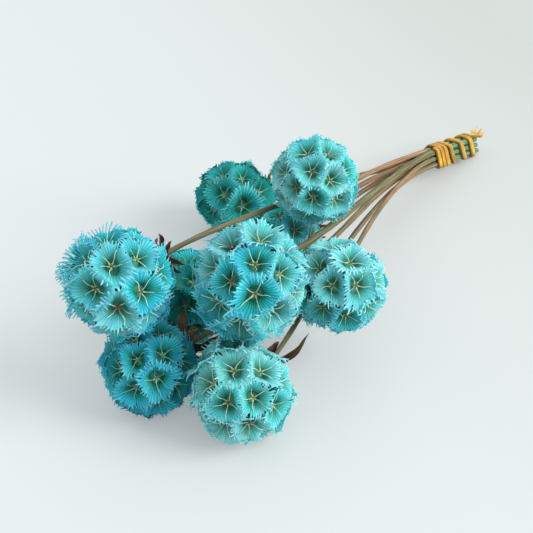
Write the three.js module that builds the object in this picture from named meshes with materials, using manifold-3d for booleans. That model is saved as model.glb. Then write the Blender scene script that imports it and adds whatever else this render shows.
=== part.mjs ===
// A tied bunch of nine dried starflower scabious heads, lying on a table.
// Millimetres, +Z up. The table is z = 0, and +X runs from the heads to the cut stem ends.
import * as THREE from "three";
import { mergeVertices } from "three/addons/utils/BufferGeometryUtils.js";
import Module from "manifold-3d";

const wasm = await Module();
wasm.setup();

// Clear space between pieces that touch
const GAP = 0.3;

// Side of a block of the table, wider than the bunch
const TABLE = 400;

// The whole bunch is moved by this, so that the middle of its box is over the origin
const SHIFT = [29.39, -6.23];

// at: the middle of the head. radius: to the tips of the cups' teeth. back: azimuth and elevation
// of the way the stem leaves. neck: how far out the bracts sit, as a share of the radius. spiral:
// the same as back, but for the spiral of cups, where it starts elsewhere. cups: how many there are
// in a spiral of LAST_CUP degrees. turn, hand: the spiral's first angle and its sense. stem: its
// thickest radius. keeps: how far the stem holds its first and its last direction. slot: the
// stem's place in the tie, as a distance and an angle.
const HEADS = {
  a: { at: [-122.5, 14.3, 48.1], radius: 17.0, back: [-14, 6], neck: 1.0, spiral: [24, -24],
    cups: 24, turn: 171, hand: 1, stem: 1.0, keeps: [12, 116], slot: [2.6, 180], rests: false },
  b: { at: [-118.8, 7.8, 14.5], radius: 15.7, back: [-21, 9], spiral: [-5, -14],
    cups: 27, turn: 123, hand: -1, stem: 1.05, keeps: [69, 52], slot: [2.6, 300], rests: true },
  c: { at: [-95.2, -16.0, 45.4], radius: 17.7, back: [5, -15], cups: 26, turn: 96, hand: 1,
    stem: 1.3, keeps: [42, 20], slot: [2.6, 60], rests: false },
  d: { at: [-111.2, -23.8, 14.9], radius: 16.2, back: [3, 2], cups: 24, turn: 294, hand: 1,
    stem: 1.0, keeps: [20, 51], slot: [4.2, 330], rests: true },
  e: { at: [-65.1, -29.1, 29.8], radius: 15.4, back: [19, -7], cups: 22, turn: 228, hand: -1,
    stem: 1.0, keeps: [30, 22], slot: [2.6, 0], rests: false },
  f: { at: [-39.2, -2.5, 47.0], radius: 15.0, back: [-1, -30], cups: 26, turn: 270, hand: 1,
    stem: 1.0, keeps: [24, 60], slot: [2.6, 120], rests: false },
  g: { at: [-25.1, 41.8, 14.0], radius: 15.2, back: [-27, -5], cups: 20, turn: 0, hand: 1,
    stem: 1.03, keeps: [24, 41], slot: [4.2, 210], rests: true },
  h: { at: [-43.9, 5.1, 20.8], radius: 12.4, back: [-1, 0], cups: 20, turn: 40, hand: 1,
    stem: 1.0, keeps: [35, 40], slot: [0, 0], rests: false },
  i: { at: [-84.0, 19.2, 15.1], radius: 16.5, back: [-6, -11], cups: 24, turn: 80, hand: -1,
    stem: 1.03, keeps: [58, 58], slot: [2.6, 240], rests: true },
};

// The straight stretch of the stems that the tie holds: where it starts and where they are cut
const BUNDLE_START = new THREE.Vector3(47.8, -1.3, 11.2);
const BUNDLE_END = new THREE.Vector3(79.6, -4.8, 3.4);

// Cups, as shares of the head's radius and as angles from the cup's own axis
const GOLDEN_ANGLE = 137.508;
const LAST_CUP = 138; // degrees, counted from straight opposite the stem
const CUP_POINTS = 10;
const CUP_SLIT = 0.35;
const WIDEST_CUP = 24;
const HIGH_TOOTH = 1;
const LOW_TOOTH = 0.95;
const CUP_FLOOR = 0.68;
const STAR_REACH = 0.45;
const STAR_MIDDLE = 0.76;
const CUP_ROOT = 0.3;
const CORE = 0.62;
const NECK_RADIUS = 2.0;
const NECK_END = 0.88;

// Bracts: a small disc under the head, and the leaves on it
const DISC_RADIUS = 2.3;
const DISC_THICKNESS = 1.0;
const BRACT_COUNT = 6;
const BRACT_LENGTH = 6.6;
const BRACT_UNEVEN = 1.3;
const BRACT_WIDTH = 2.1;
const BRACT_THICKNESS = 0.8;
const BRACT_LIFT = [16, 30, 48]; // degrees that each third of a leaf leans along the stem
const BRACT_TAPER = [0.7, 1, 0.75, 0.15];
const BRACT_THINNEST = 0.4;
const BRACT_ROOT = 0.6; // share of the disc's thickness

// Stems
const STEM_SIDES = 8;
const STEM_STEPS = 11;
const STEM_THIN = 0.84;

// The tie: how far the band moves along the stems in each turn, and its own section
const BAND_TURNS = [2.7, 2.7, 3.4, 8.0, 8.4, 2.7];
const BAND_FIRST = 1.6;
const BAND_STEPS = 16;
const BAND_WIDTH = 2.2;
const BAND_THICKNESS = 0.9;
const TAIL_STEPS = 3;
const TAIL_STEP = [1.5, 0.4, 0.5]; // across the bundle, up, and along it

const DYE = { color: "#4bb6c9", roughness: 0.85, metalness: 0 };
const BRACT = { color: "#4b2d1e", roughness: 0.8, metalness: 0 };
const STEM = { color: "#91805a", roughness: 0.75, metalness: 0 };
const TIE = { color: "#d09a2e", roughness: 0.6, metalness: 0 };

const radians = THREE.MathUtils.degToRad;

function direction(azimuth, elevation) {
  const level = Math.cos(radians(elevation));
  return new THREE.Vector3(
    level * Math.cos(radians(azimuth)),
    level * Math.sin(radians(azimuth)),
    Math.sin(radians(elevation)),
  );
}

// A closed body from its corners and its triangles, which are turned counterclockwise outside
function closedBody(corners, triangles) {
  const geometry = new THREE.BufferGeometry().setFromPoints(corners);
  geometry.setIndex(triangles.flat());
  return solidOf(geometry);
}

function solidOf(geometry) {
  geometry.deleteAttribute("normal");
  geometry.deleteAttribute("uv");
  const merged = mergeVertices(geometry, 1e-4);
  const vertProperties = Float32Array.from(merged.attributes.position.array);
  const triVerts = Uint32Array.from(merged.index.array);
  return new wasm.Manifold(new wasm.Mesh({ numProp: 3, vertProperties, triVerts }));
}

// Rings of the same number of points joined into one closed body, with flat ends
function loft(rings) {
  const sides = rings[0].length;
  const triangles = [];
  for (let r = 0; r < rings.length - 1; r++) {
    for (let k = 0; k < sides; k++) {
      const here = r * sides + k;
      const next = r * sides + ((k + 1) % sides);
      triangles.push([here, next, next + sides], [here, next + sides, here + sides]);
    }
  }
  const last = (rings.length - 1) * sides;
  for (let k = 1; k < sides - 1; k++) {
    triangles.push([0, k + 1, k], [last, last + k, last + k + 1]);
  }
  return closedBody(rings.flat(), triangles);
}

// The spiral of cups over the whole ball, without those that the stem and its bracts leave no room
function cupDirections(head) {
  const front = direction(...(head.spiral ?? head.back)).negate();
  const across = new THREE.Vector3(0, 0, 1).cross(front).normalize();
  const over = front.clone().cross(across);
  const step = (1 - Math.cos(radians(LAST_CUP))) / head.cups;
  const axes = [];
  for (let cosine = 1 - step / 2; cosine > -1; cosine -= step) {
    const sine = Math.sqrt(1 - cosine * cosine);
    const around = radians(head.turn + head.hand * GOLDEN_ANGLE * axes.length);
    axes.push(front.clone().multiplyScalar(cosine)
      .addScaledVector(across, sine * Math.cos(around))
      .addScaledVector(over, sine * Math.sin(around)));
  }
  const back = direction(...head.back);
  return axes.filter((axis) => axis.angleTo(back) > radians(180 - LAST_CUP));
}

// How far a cup spreads to one side: to half a slit from the plane midway to its neighbour
function spread(axes, i, side, radius) {
  const angles = axes.filter((_, j) => j !== i).map((other) => {
    const along = 1 - axes[i].dot(other);
    const towards = side.dot(other);
    const halfSlit = CUP_SLIT / 2 / radius * axes[i].distanceTo(other);
    return Math.acos(halfSlit / Math.hypot(along, towards)) - Math.atan2(towards, along);
  });
  return Math.min(radians(WIDEST_CUP), ...angles);
}

// A cup: a cone from the head's core to a toothed rim, hollowed, with a five-ridged star inside
function cup(axes, i, radius) {
  const axis = axes[i];
  const across = new THREE.Vector3(0, 0, 1).cross(axis).normalize();
  const over = axis.clone().cross(across);
  const corners = [];
  for (let k = 0; k < CUP_POINTS; k++) {
    const around = radians(360 * k / CUP_POINTS + GOLDEN_ANGLE * i);
    const side = across.clone().multiplyScalar(Math.cos(around)).addScaledVector(over, Math.sin(around));
    const angle = spread(axes, i, side, radius);
    const place = (share, reach) => axis.clone().multiplyScalar(Math.cos(angle * reach) * share * radius)
      .addScaledVector(side, Math.sin(angle * reach) * share * radius);
    corners.push(place(k % 2 === 0 ? HIGH_TOOTH : LOW_TOOTH, 1));
    if (k % 2 === 0) {
      corners.push(place(CUP_FLOOR, STAR_REACH));
    }
  }
  const middle = corners.push(axis.clone().multiplyScalar(STAR_MIDDLE * radius)) - 1;
  const root = corners.push(axis.clone().multiplyScalar(CUP_ROOT * radius)) - 1;
  const triangles = [];
  for (let arm = 0; arm < CUP_POINTS / 2; arm++) {
    const [high, foot, low] = [3 * arm, 3 * arm + 1, 3 * arm + 2];
    const nextHigh = 3 * ((arm + 1) % (CUP_POINTS / 2));
    const nextFoot = nextHigh + 1;
    triangles.push([high, low, foot], [low, nextFoot, foot], [low, nextHigh, nextFoot]);
    triangles.push([foot, nextFoot, middle], [low, high, root], [nextHigh, low, root]);
  }
  return closedBody(corners, triangles);
}

// A round bar along a direction, between two distances from the head's middle
function bar(along, from, to, radius, sides) {
  const geometry = new THREE.CylinderGeometry(radius, radius, to - from, sides);
  geometry.applyQuaternion(new THREE.Quaternion().setFromUnitVectors(THREE.Object3D.DEFAULT_UP, along));
  const middle = along.clone().multiplyScalar((from + to) / 2);
  geometry.translate(middle.x, middle.y, middle.z);
  return solidOf(geometry);
}

// What rests on the table is pressed flat there. height: of the body's own zero over the table
function aboveTable(body, height) {
  const slab = new THREE.BoxGeometry(TABLE, TABLE, TABLE);
  slab.translate(0, 0, -height - TABLE / 2);
  return body.subtract(solidOf(slab));
}

function seedHead(head) {
  const axes = cupDirections(head);
  const back = direction(...head.back);
  let body = solidOf(new THREE.IcosahedronGeometry(CORE * head.radius));
  const neckEnd = (head.neck ?? NECK_END) * head.radius;
  body = body.add(bar(back, CUP_ROOT * head.radius, neckEnd, NECK_RADIUS, BRACT_COUNT));
  axes.forEach((_, i) => {
    body = body.add(cup(axes, i, head.radius));
  });
  return head.rests ? aboveTable(body, head.at[2]) : body;
}

// A disc under the head with pointed leaves that spread and curl back along the stem
function bractWhorl(head, turn) {
  const back = direction(...head.back);
  const across = new THREE.Vector3(0, 0, 1).cross(back).normalize();
  const over = back.clone().cross(across);
  const from = (head.neck ?? NECK_END) * head.radius + GAP;
  let whorl = bar(back, from, from + DISC_THICKNESS, DISC_RADIUS, BRACT_COUNT);
  for (let k = 0; k < BRACT_COUNT; k++) {
    const around = radians(turn + 360 * k / BRACT_COUNT);
    const out = across.clone().multiplyScalar(Math.cos(around)).addScaledVector(over, Math.sin(around));
    const edge = back.clone().cross(out);
    const length = BRACT_LENGTH + BRACT_UNEVEN * Math.sin(2 * around + radians(turn));
    const place = back.clone().multiplyScalar(from + DISC_THICKNESS / 5)
      .addScaledVector(out, DISC_RADIUS / 2);
    const rings = BRACT_TAPER.map((width, step) => {
      if (step > 0) {
        const lift = radians(BRACT_LIFT[step - 1]);
        place.addScaledVector(out, length / 3 * Math.cos(lift));
        place.addScaledVector(back, length / 3 * Math.sin(lift));
      }
      const half = BRACT_WIDTH / 2 * width;
      const blade = BRACT_THICKNESS * Math.max(width, BRACT_THINNEST);
      const keel = step === 0 ? DISC_THICKNESS * BRACT_ROOT : blade;
      return [
        place.clone().addScaledVector(edge, -half),
        place.clone().addScaledVector(edge, half),
        place.clone().addScaledVector(back, keel),
      ];
    });
    whorl = whorl.add(loft(rings));
  }
  return whorl;
}

const bundleWay = BUNDLE_END.clone().sub(BUNDLE_START).normalize();
const bundleSide = bundleWay.clone().cross(new THREE.Vector3(0, 0, 1)).normalize();
const bundleUp = bundleSide.clone().cross(bundleWay);

function slotOffset(head) {
  const [distance, angle] = head.slot;
  return bundleSide.clone().multiplyScalar(distance * Math.cos(radians(angle)))
    .addScaledVector(bundleUp, distance * Math.sin(radians(angle)));
}

// A stem leaves its head straight back, bends once or twice and lies straight in the tie
function stem(head) {
  const back = direction(...head.back);
  const start = (head.neck ?? NECK_END) * head.radius + 2 * GAP + DISC_THICKNESS;
  const first = new THREE.Vector3(...head.at).addScaledVector(back, start);
  const enters = BUNDLE_START.clone().add(slotOffset(head));
  const curve = new THREE.CubicBezierCurve3(
    first,
    first.clone().addScaledVector(back, head.keeps[0]),
    enters.clone().addScaledVector(bundleWay, -head.keeps[1]),
    enters,
  );
  const points = curve.getPoints(STEM_STEPS);
  points.push(BUNDLE_END.clone().add(slotOffset(head)));
  let sideways = new THREE.Vector3(0, 0, 1).cross(back).normalize();
  const rings = points.map((point, n) => {
    const ahead = n < STEM_STEPS ? curve.getTangent(n / STEM_STEPS) : bundleWay;
    sideways = sideways.addScaledVector(ahead, -sideways.dot(ahead)).normalize();
    const upwards = ahead.clone().cross(sideways);
    const radius = head.stem * THREE.MathUtils.lerp(STEM_THIN, 1, n / STEM_STEPS);
    return Array.from({ length: STEM_SIDES }, (_, k) => {
      const around = 2 * Math.PI * k / STEM_SIDES;
      return point.clone().addScaledVector(sideways, radius * Math.cos(around))
        .addScaledVector(upwards, radius * Math.sin(around));
    });
  });
  return loft(rings);
}

// The band follows the outline of the stems, held together, and climbs towards their cut ends
function tie() {
  const lift = GAP + BAND_THICKNESS / 2;
  const stems = Object.values(HEADS).map((head) => ({ offset: slotOffset(head), radius: head.stem }));
  const section = (place, out) => [[-1, -1], [1, -1], [1, 1], [-1, 1]].map(([along, away]) =>
    place.clone().addScaledVector(bundleWay, along * BAND_WIDTH / 2)
      .addScaledVector(out, away * BAND_THICKNESS / 2));
  const rings = [];
  let along = BAND_FIRST;
  let place;
  let out;
  for (let step = 0; step <= BAND_TURNS.length * BAND_STEPS; step++) {
    const around = -2 * Math.PI * step / BAND_STEPS + Math.PI / 2;
    out = bundleSide.clone().multiplyScalar(Math.cos(around)).addScaledVector(bundleUp, Math.sin(around));
    const reach = ({ offset, radius }) => offset.dot(out) + radius;
    const outermost = stems.reduce((best, one) => (reach(one) > reach(best) ? one : best));
    place = BUNDLE_START.clone().addScaledVector(bundleWay, along).add(outermost.offset)
      .addScaledVector(out, outermost.radius + lift);
    rings.push(section(place, out));
    along += (BAND_TURNS[Math.floor(step / BAND_STEPS)] ?? 0) / BAND_STEPS;
  }
  for (let step = 0; step < TAIL_STEPS; step++) {
    place = place.clone().addScaledVector(bundleSide, TAIL_STEP[0])
      .addScaledVector(bundleUp, TAIL_STEP[1]).addScaledVector(bundleWay, TAIL_STEP[2]);
    rings.push(section(place, out));
  }
  return aboveTable(loft(rings), 0);
}

function meshOf(name, body, finish) {
  const { vertProperties, triVerts } = body.getMesh();
  const geometry = new THREE.BufferGeometry();
  geometry.setAttribute("position", new THREE.BufferAttribute(vertProperties, 3));
  geometry.setIndex(new THREE.BufferAttribute(triVerts, 1));
  const mesh = new THREE.Mesh(geometry, new THREE.MeshStandardMaterial({ ...finish, flatShading: true }));
  mesh.name = name;
  return mesh;
}

const bunch = new THREE.Group();
bunch.position.set(...SHIFT, 0);
Object.entries(HEADS).forEach(([letter, head], n) => {
  const globe = meshOf(`head_${letter}`, seedHead(head), DYE);
  const bracts = meshOf(`bracts_${letter}`, bractWhorl(head, 50 * n), BRACT);
  globe.position.set(...head.at);
  bracts.position.set(...head.at);
  bunch.add(globe, bracts, meshOf(`stem_${letter}`, stem(head), STEM));
});
bunch.add(meshOf("tie", tie(), TIE));

export default bunch;
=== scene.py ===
"""The finish of a tied bunch of nine dried starflower scabious heads, dyed turquoise."""
import math
import random

import bmesh
import bpy
import numpy as np
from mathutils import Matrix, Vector


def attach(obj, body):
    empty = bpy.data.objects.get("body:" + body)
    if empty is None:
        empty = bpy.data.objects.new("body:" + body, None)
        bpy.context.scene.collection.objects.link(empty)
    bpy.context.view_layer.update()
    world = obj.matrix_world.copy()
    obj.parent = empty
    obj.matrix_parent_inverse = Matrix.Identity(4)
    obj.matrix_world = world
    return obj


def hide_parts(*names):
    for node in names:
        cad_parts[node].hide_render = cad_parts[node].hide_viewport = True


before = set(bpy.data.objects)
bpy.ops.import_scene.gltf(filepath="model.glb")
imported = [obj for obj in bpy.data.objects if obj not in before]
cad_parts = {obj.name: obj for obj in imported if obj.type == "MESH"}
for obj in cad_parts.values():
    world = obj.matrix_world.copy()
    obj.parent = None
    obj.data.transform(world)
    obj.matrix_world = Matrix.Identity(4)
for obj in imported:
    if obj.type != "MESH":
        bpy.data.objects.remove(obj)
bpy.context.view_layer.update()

# The bunch is measured in millimetres, as on the drawing, and written out in metres
MM = 0.001
ONE_TURN = 2 * math.pi
GAP = 0.3
SHIFT = np.array([29.39, -6.23, 0.0])

# at: the middle of the head. radius: to the tips of the teeth. back: azimuth and elevation of
# the way the stem leaves. neck, spiral, cups, turn, hand, stem, keeps, slot: as on the drawing.
# rests: the head lies on the table.
# dye: how strongly the head took the dye, and how pale its rims dried. The rim number also
# paints light: above zero it is painted highlight on the brighter-lit heads, below zero painted
# shade on the heads in shade, and head b's strong dye is partly painted shade too. worn: azimuth
# and elevation of the side where the paper between the ribs has gone. fuller: sides where the
# cups grew longer or shorter, as azimuth, elevation and the share that is added there. leafy: how
# large the bracts grew. nodding: how far they bend towards the stem. blades: the bracts that
# dried dark, as a long blade, a horn or a short curl, each with its length, width, three lifts
# along it in degrees, curl, twist and sway.
HEADS = {
    "a": dict(at=(-122.5, 14.3, 48.1), radius=17.0, back=(-14, 6), neck=1.0, spiral=(24, -24),
              cups=24, turn=171, stem=1.0, keeps=(12, 116), slot=(2.6, 180),
              dye=(0.28, 0.1), worn=(114, 18), leafy=0.95, nodding=0.6,
              fuller=[(154, -33, -0.12), (60, 50, -0.1)],
              blades={1: (6.0, 2.0, (32, 22, -25), 0.8, 1.3, -0.1)}),
    "b": dict(at=(-118.8, 7.8, 14.5), radius=15.7, back=(-21, 9), spiral=(-5, -14),
              cups=27, turn=123, hand=-1, stem=1.05, keeps=(69, 52), slot=(2.6, 300), rests=True,
              dye=(0.6, -0.38), leafy=1.5, fuller=[(-55, 0, 0.03)],
              blades={2: (11.0, 3.6, (20, 55, 75), 0.5, 0.6, -0.6)}),
    "c": dict(at=(-95.2, -16.0, 45.4), radius=17.7, back=(5, -15), cups=26, turn=96,
              stem=1.3, keeps=(42, 20), slot=(2.6, 60), dye=(0.2, 0.2),
              fuller=[(160, -45, 0.14), (-150, -45, 0.06)]),
    "d": dict(at=(-111.2, -23.8, 14.9), radius=16.2, back=(3, 2), cups=24, turn=294,
              stem=1.0, keeps=(20, 51), slot=(4.2, 330), rests=True, dye=(-0.2, 0.5),
              blades={0: (16.0, 2.3, (15, 45, 80), 1.5, 0.7, -0.4),
                      5: (7.0, 3.0, (30, 50, 70), 0.8, 0.4, 0.2)},
              fuller=[(88, 42, 0.14), (125, 0, 0.05)]),
    "e": dict(at=(-65.1, -29.1, 29.8), radius=15.4, back=(19, -7), cups=22, turn=228, hand=-1,
              stem=1.0, keeps=(30, 22), slot=(2.6, 0), dye=(0.0, 0.38)),
    "f": dict(at=(-39.2, -2.5, 47.0), radius=15.0, back=(-1, -30), cups=26, turn=270,
              stem=1.0, keeps=(24, 60), slot=(2.6, 120), dye=(-0.25, 0.4)),
    "g": dict(at=(-25.1, 41.8, 14.0), radius=15.2, back=(-27, -5), cups=20, turn=0,
              stem=1.03, keeps=(24, 41), slot=(4.2, 210), rests=True, dye=(-0.1, -0.75)),
    "h": dict(at=(-43.9, 5.1, 20.8), radius=12.4, back=(-1, 0), cups=20, turn=40,
              stem=1.0, keeps=(35, 40), slot=(0, 0), dye=(-0.05, 0.1)),
    "i": dict(at=(-84.0, 19.2, 15.1), radius=16.5, back=(-6, -11), cups=24, turn=80, hand=-1,
              stem=1.03, keeps=(58, 58), slot=(2.6, 240), rests=True, dye=(0.3, -0.75)),
}
BUNDLE_START = np.array([47.8, -1.3, 11.2])
BUNDLE_END = np.array([79.6, -4.8, 3.4])

# The spiral of cups on a head
GOLDEN_ANGLE = 137.508
LAST_CUP = 138
CUP_SLIT = 0.35
WIDEST_CUP = 32
SPREAD_STEPS = 48
SPREAD_BLUR = ((-2, 1), (-1, 2), (0, 3), (1, 2), (2, 1))
# How much of its spread a cup fills, and how far it stands above or below the ball
CUP_FILL = 1.07
FILL_UNEVEN = (-0.03, 0.05)
FILL_PER_LIFT = 1.6
CUP_LIFT = 0.045
CUP_SWING = 0.2
DYE_UNEVEN = (-0.15, 0.15)
RIM_UNEVEN = (-0.35, 0.45)

# A cup, as its reach from its own axis (1 at the rim) and its share of the head's radius
RIBS = 36
COLUMNS = 3 * RIBS
PITCH = ONE_TURN / RIBS
PAPER_ROWS = [(0.4, 0.665), (0.46, 0.745), (0.57, 0.828), (0.71, 0.897), (0.83, 0.945),
              (0.93, 0.976), (1.02, 0.992)]
TEETH_ROWS = [(1.07, 1.0), (1.12, 1.006)]
TEETH_WIDTH = [0.8, 0.3]
BLUNT_TEETH = [1.0, 0.7]
PLEAT_DEPTH = 0.013
PAPER = 0.09
# Each rib's length, notch, lean, bend and tooth, and the waves round a rim, as size and number:
# ribs gathered into tufts, uneven lengths and a ruffle
RIB_HABITS = [(-0.06, 0.05), (0.02, 0.2), (-0.3, 0.3), (-0.022, 0.022), (-1.0, 0.7)]
RIM_WAVES = [(0.055, (5, 8, 11)), (0.08, (2, 3, 5)), (0.042, (1, 4, 7))]
RIM_STEPS = 72
RAGGED = (0.6, 1.2)
# Cups this near the worn side, as a cosine, and how ragged and how much longer their ribs are
WORN_SIDE = 0.62
WORN_RIBS = (0.35, 0.28)
# How far out the paper still spans the gap between two ribs, as chances for each row of PAPER_ROWS
WHOLE_PAPER = [(6, 1.0)]
FRAYED_PAPER = [(6, 0.66), (5, 0.22), (4, 0.12)]
WORN_PAPER = [(6, 0.08), (5, 0.16), (4, 0.33), (3, 0.43)]
STALK_TOP = 0.64
STAR_ARMS = 5
BUTTON_RADIUS = 0.06
BUTTON_SHARE = 0.735
BUTTON_FLATNESS = 0.4
# Each arm's sway, curl, phase, rise and length, which start at its root
ARM_HABITS = [(-0.28, 0.28), (-0.07, 0.07), (0, 6), (-0.25, 0.12), (0.6, 1.2)]
ARM_ROOT = 0.2
ARM_WAVES = 9
# The star's arm: reach, share, half its width (as reach) and half its thickness (as share)
ARM = [(0.02, 0.742, 0.024, 0.014), (0.08, 0.748, 0.038, 0.017), (0.14, 0.76, 0.046, 0.016),
       (0.19, 0.775, 0.032, 0.013), (0.26, 0.799, 0.015, 0.01), (0.38, 0.838, 0.011, 0.008),
       (0.51, 0.876, 0.01, 0.007), (0.63, 0.908, 0.008, 0.006), (0.76, 0.938, 0.005, 0.005)]

# Hearts, bracts, stems and band
HEART_SIZE = 0.6
NECK_ROOT = 0.3
NECK_TIP = 2.0
NECK_START = 0.48
NECK_END = 0.88
DISC_RADIUS = 2.3
DISC_THICKNESS = 1.0
BRACT_COUNT = 6
BRACT_LENGTH = 6.6
BRACT_UNEVEN = 1.3
BRACT_WIDTH = 2.1
WHORL_TURN = 50
LEAF_ROOT = 0.45
LEAF_STEPS = 40
LEAF_WAVES = (9, 15, 22)
LEAF_SHADES = (-0.4, 0.7)
BLADE_SHADE = -0.8
# A bract's growth in length and width, its lifts at the middle and tip, curl, twist and sway
BRACT_HABITS = [(0.97, 1.18), (0.9, 1.35), (22, 36), (30, 85), (0.15, 0.7), (-1.3, 1.3),
                (-0.45, 0.45)]
STEM_THIN = 0.84
STEM_CORNERS = 32
STEM_RIDGES = 8
# How pink a stem is, against olive
STEM_SHADES = dict(a=-0.6, b=0.2, c=-0.8, d=0.1, e=0.1, f=0.7, g=0.6, h=0.3, i=0.4)
# A stem stops swelling and thinning this far before its end, over this length, to lie true in the
# band
CALM_END = 36
CALM_LENGTH = 12
BAND_TURNS = [2.7, 2.7, 3.4, 8.0, 8.4, 2.7]
BAND_FIRST = 1.6
BAND_STEPS = 48
BAND_SLANT = 0.9
BAND_WIDTH = 2.2
BAND_THICKNESS = 0.9
BAND_UNEVEN = (0.8, 1.15)
BAND_UNEVEN_STEPS = 7
RING_SPACING = 0.55
TAIL_STEPS = 3
TAIL_TAPER = 0.15
TAIL_STEP = (1.5, 0.4, 0.5)
FIBRES = 24
FIBRE_SECTION = (1, 0.8, 0.25)
FIBRE_STEPS = 6
FIBRE_TAPER = 0.86
FIBRE_LENGTHS = (2.8, 5.2)

draws = random.Random(31)


def drawn(ranges, count):
    """Draws within these ranges, a row for each arm, rib or leaf."""
    return np.array([[draws.uniform(*ends) for ends in ranges] for _ in range(count)])


# Directions and the layout of a head

def aim(way):
    """The turn that lays a piece's +Z along this way."""
    return Vector(way).to_track_quat("Z", "Y").to_euler()


def direction(azimuth, elevation):
    azimuth, elevation = math.radians(azimuth), math.radians(elevation)
    return np.array([math.cos(elevation) * math.cos(azimuth),
                     math.cos(elevation) * math.sin(azimuth), math.sin(elevation)])


def unit(vector):
    return vector / np.linalg.norm(vector)


def unit_rows(vectors):
    return vectors / np.linalg.norm(vectors, axis=1)[:, None]


UP = np.array([0.0, 0.0, 1.0])
bundle_way = unit(BUNDLE_END - BUNDLE_START)
bundle_side = unit(np.cross(bundle_way, UP))
bundle_up = np.cross(bundle_side, bundle_way)


def slot_offset(head):
    distance, angle = head["slot"]
    angle = math.radians(angle)
    return distance * (math.cos(angle) * bundle_side + math.sin(angle) * bundle_up)


def square_to(way):
    across = unit(np.cross(UP, way))
    return across, np.cross(way, across)


def cup_axes(head):
    front = -direction(*head.get("spiral", head["back"]))
    across, over = square_to(front)
    step = (1 - math.cos(math.radians(LAST_CUP))) / head["cups"]
    axes = []
    for i in range(math.ceil((2 - step / 2) / step)):
        cosine = 1 - step / 2 - i * step
        sine = math.sqrt(1 - cosine * cosine)
        around = math.radians(head["turn"] + head.get("hand", 1) * GOLDEN_ANGLE * i)
        axes.append(front * cosine + sine * (across * math.cos(around) + over * math.sin(around)))
    bare = math.cos(math.radians(180 - LAST_CUP))
    return np.array([axis for axis in axes if axis @ direction(*head["back"]) < bare])


def neck_end(head):
    return head.get("neck", NECK_END) * head["radius"]


def cup_sides(axis, around):
    """Directions square to a cup's axis, one for each angle around it."""
    across, over = square_to(axis)
    return np.outer(np.cos(around), across) + np.outer(np.sin(around), over)


def spread_table(axes, i, radius):
    """How far cup i spreads, at even steps around it.

    It ends half a slit from the plane midway to each neighbour."""
    around = np.arange(SPREAD_STEPS) * ONE_TURN / SPREAD_STEPS
    sides = cup_sides(axes[i], around)
    others = np.delete(axes, i, axis=0)
    along = 1 - others @ axes[i]
    towards = sides @ others.T
    half_slit = CUP_SLIT / 2 / radius * np.linalg.norm(others - axes[i], axis=1)
    distance = np.hypot(along, towards)
    angles = np.arccos(np.clip(half_slit / distance, -1, 1)) - np.arctan2(towards, along)
    spreads = np.minimum(angles.min(axis=1), math.radians(WIDEST_CUP))
    total = sum(weight for _, weight in SPREAD_BLUR)
    return around, sum(np.roll(spreads, step) * weight for step, weight in SPREAD_BLUR) / total


# Modelling steps

def select_none():
    bpy.ops.object.select_all(action="DESELECT")


def put_in_scene(thing):
    bpy.context.scene.collection.objects.link(thing)
    return thing


def alone(piece):
    select_none()
    piece.select_set(True)
    bpy.context.view_layer.objects.active = piece
    return piece


def begin(add, name, **placing):
    """Adds a primitive at its place and opens it for shaping, selected all over."""
    select_none()
    add(**placing)
    piece = bpy.context.active_object
    piece.name = piece.data.name = name
    bpy.ops.object.mode_set(mode="EDIT")
    bpy.ops.mesh.select_mode(type="VERT")
    bpy.ops.mesh.select_all(action="SELECT")
    return piece


def close(piece):
    """Ends the shaping, with the faces turned outwards and the piece's place in its mesh."""
    bpy.ops.mesh.select_all(action="SELECT")
    bpy.ops.mesh.normals_make_consistent(inside=False)
    bpy.ops.object.mode_set(mode="OBJECT")
    alone(piece)
    bpy.ops.object.transform_apply(location=True, rotation=True, scale=True)
    return piece


def pick(piece, kind, test):
    bpy.ops.mesh.select_mode(type=kind)
    bpy.ops.mesh.select_all(action="DESELECT")
    shape = bmesh.from_edit_mesh(piece.data)
    for item in {"VERT": shape.verts, "EDGE": shape.edges, "FACE": shape.faces}[kind]:
        if test(item):
            item.select_set(True)
    shape.select_flush_mode()
    bmesh.update_edit_mesh(piece.data)


def extrude(move, scale, about=(0, 0, 0)):
    """Draws the selection out and widens or narrows its end about a point."""
    bpy.ops.mesh.extrude_region_move(TRANSFORM_OT_translate={"value": move})
    bpy.ops.transform.resize(value=scale, center_override=about)


def corners_of(piece):
    corners = np.empty(len(piece.data.vertices) * 3)
    piece.data.vertices.foreach_get("co", corners)
    return corners.reshape(-1, 3)


def place_corners(piece, corners):
    piece.data.vertices.foreach_set("co", np.ascontiguousarray(corners, dtype=np.float32).ravel())
    piece.data.update()


def copy_of(piece, name):
    """A copy with its own mesh."""
    copy = piece.copy()
    copy.data = piece.data.copy()
    copy.name = copy.data.name = name
    return put_in_scene(copy)


def join(pieces, name):
    select_none()
    for piece in pieces:
        piece.select_set(True)
    bpy.context.view_layer.objects.active = pieces[0]
    bpy.ops.object.join()
    pieces[0].name = pieces[0].data.name = name
    return pieces[0]


def finish_with(piece, kind, **settings):
    alone(piece)
    modifier = piece.modifiers.new(kind.lower(), kind)
    for key, value in settings.items():
        setattr(modifier, key, value)
    bpy.ops.object.modifier_apply(modifier=modifier.name)


def smooth(piece, degrees):
    alone(piece)
    bpy.ops.object.shade_smooth_by_angle(angle=math.radians(degrees))


def paint(piece, value, name="dye"):
    """A number all over a piece, or one for each corner, that its finish reads."""
    layer = piece.data.attributes.get(name) or piece.data.attributes.new(name, "FLOAT", "POINT")
    layer.data.foreach_set("value", np.full(len(piece.data.vertices), value, dtype=np.float32))


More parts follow.
